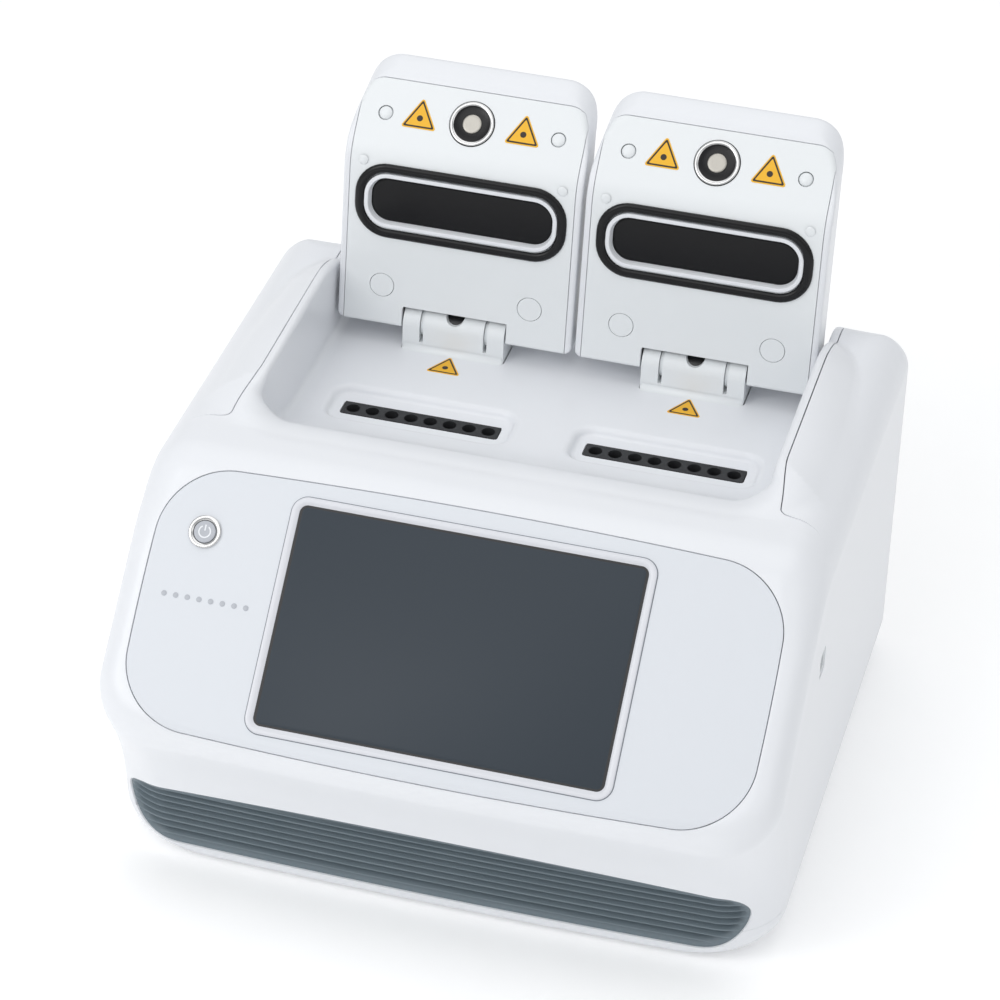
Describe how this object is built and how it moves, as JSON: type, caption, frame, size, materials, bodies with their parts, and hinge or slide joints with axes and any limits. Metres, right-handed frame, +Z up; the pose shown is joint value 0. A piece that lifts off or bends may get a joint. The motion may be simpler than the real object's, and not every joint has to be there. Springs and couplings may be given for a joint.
{
  "type": "thermal cycler",
  "caption": "Bench-top laboratory thermal cycler with two hinged lids over narrow strip-tube blocks, a sloping touch-screen front and a ribbed air intake below it.",
  "frame": {"origin": "bottom centre of the bounding box with both lids open, on the bench", "axes": "+X right seen from the front, +Y to the back, +Z up"},
  "size_m": [0.297, 0.2929, 0.2689],
  "materials": {
    "case_white": "satin injection-moulded plastic",
    "deck_white": "smooth satin plastic",
    "grille_grey": "fine matte slate grey plastic",
    "black_plastic": "matte black",
    "black_rubber": "soft matte rubber",
    "grey_silicone": "soft sealing silicone",
    "screen_dark": "dark cover glass",
    "bezel_silver": "satin silver",
    "block_metal": "dark hard-anodised",
    "sink_metal": "extruded",
    "steel_bright": "polished",
    "steel_satin": "brushed",
    "magnet_steel": "turned, warm tone",
    "sheet_steel": "powder coated",
    "ceramic_white": "unglazed ceramic",
    "button_grey": "satin grey",
    "label_yellow": "printed film",
    "board_green": "coated circuit board"
  },
  "bodies": {
    "housing": {"block_seals": "grey_silicone", "control_board": "board_green", "control_panel": "case_white", "data_port": "black_plastic", "deck_labels": "label_yellow", "deck_liner": "deck_white", "fan_frame_left": "black_plastic", "fan_frame_right": "black_plastic", "feet": "black_rubber", "front_grille": "grille_grey", "heat_sink_left": "sink_metal", "heat_sink_right": "sink_metal", "hinge_damper_left": "black_plastic", "hinge_damper_right": "black_plastic", "hinge_pin_left": "steel_satin", "hinge_pin_right": "steel_satin", "hinge_saddle_left": "deck_white", "hinge_saddle_right": "deck_white", "lcd_module": "sheet_steel", "lower_housing": "case_white", "mains_inlet": "black_plastic", "mains_switch_frame": "black_plastic", "panel_screws": "steel_satin", "peltier_modules_left": "ceramic_white", "peltier_modules_right": "ceramic_white", "power_button_body": "steel_satin", "power_button_nut": "steel_satin", "power_supply": "sheet_steel", "rear_panel": "sheet_steel", "sample_block_left": "block_metal", "sample_block_right": "block_metal", "screen_bezel": "bezel_silver", "screen_glass": "screen_dark", "strike_plates": "steel_satin", "upper_housing": "case_white"},
    "lid_left": {"lid_cover_left": "case_white", "lid_inner_panel_left": "deck_white", "lid_gasket_left": "black_rubber", "lid_collar_left": "black_plastic", "heater_plate_left": "black_plastic", "magnet_cup_left": "steel_bright", "magnet_core_left": "magnet_steel", "lid_bumpers_left": "button_grey", "lid_labels_left": "label_yellow", "hinge_arms_left": "steel_satin"},
    "lid_right": {"lid_cover_right": "case_white", "lid_inner_panel_right": "deck_white", "lid_gasket_right": "black_rubber", "lid_collar_right": "black_plastic", "heater_plate_right": "black_plastic", "magnet_cup_right": "steel_bright", "magnet_core_right": "magnet_steel", "lid_bumpers_right": "button_grey", "lid_labels_right": "label_yellow", "hinge_arms_right": "steel_satin"},
    "power_cap": {"power_button_cap": "button_grey"},
    "rocker": {"mains_switch_rocker": "black_plastic"},
    "fan_left": {"fan_rotor_left": "black_plastic"},
    "fan_right": {"fan_rotor_right": "black_plastic"},
    "fuse_tray": {"fuse_drawer": "black_plastic"}
  },
  "joints": [
    {"name": "lid_left_hinge", "type": "hinge", "parent": "housing", "child": "lid_left", "pos_m": [-0.05615, 0.102, 0.1552], "axis": [1, 0, 0], "range_deg": [0, 97.6]},
    {"name": "lid_right_hinge", "type": "hinge", "parent": "housing", "child": "lid_right", "pos_m": [0.05615, 0.102, 0.1552], "axis": [1, 0, 0], "range_deg": [0, 97.6]},
    {"name": "power_button_press", "type": "slide", "parent": "housing", "child": "power_cap", "axis": [0, 0.6984, -0.7157], "range_m": [0, 0.0011], "stiffness_N_per_m": 400},
    {"name": "mains_rocker", "type": "hinge", "parent": "housing", "child": "rocker", "pos_m": [-0.05, 0.136, 0.041], "axis": [0, 0, 1], "range_deg": [0, 16]},
    {"name": "fan_left_spin", "type": "hinge", "parent": "housing", "child": "fan_left", "pos_m": [-0.045, 0.122, 0.086], "axis": [0, 1, 0], "continuous": true},
    {"name": "fan_right_spin", "type": "hinge", "parent": "housing", "child": "fan_right", "pos_m": [0.045, 0.122, 0.086], "axis": [0, 1, 0], "continuous": true},
    {"name": "fuse_drawer_slide", "type": "slide", "parent": "housing", "child": "fuse_tray", "axis": [0, 1, 0], "range_m": [0, 0.012]}
  ]
}
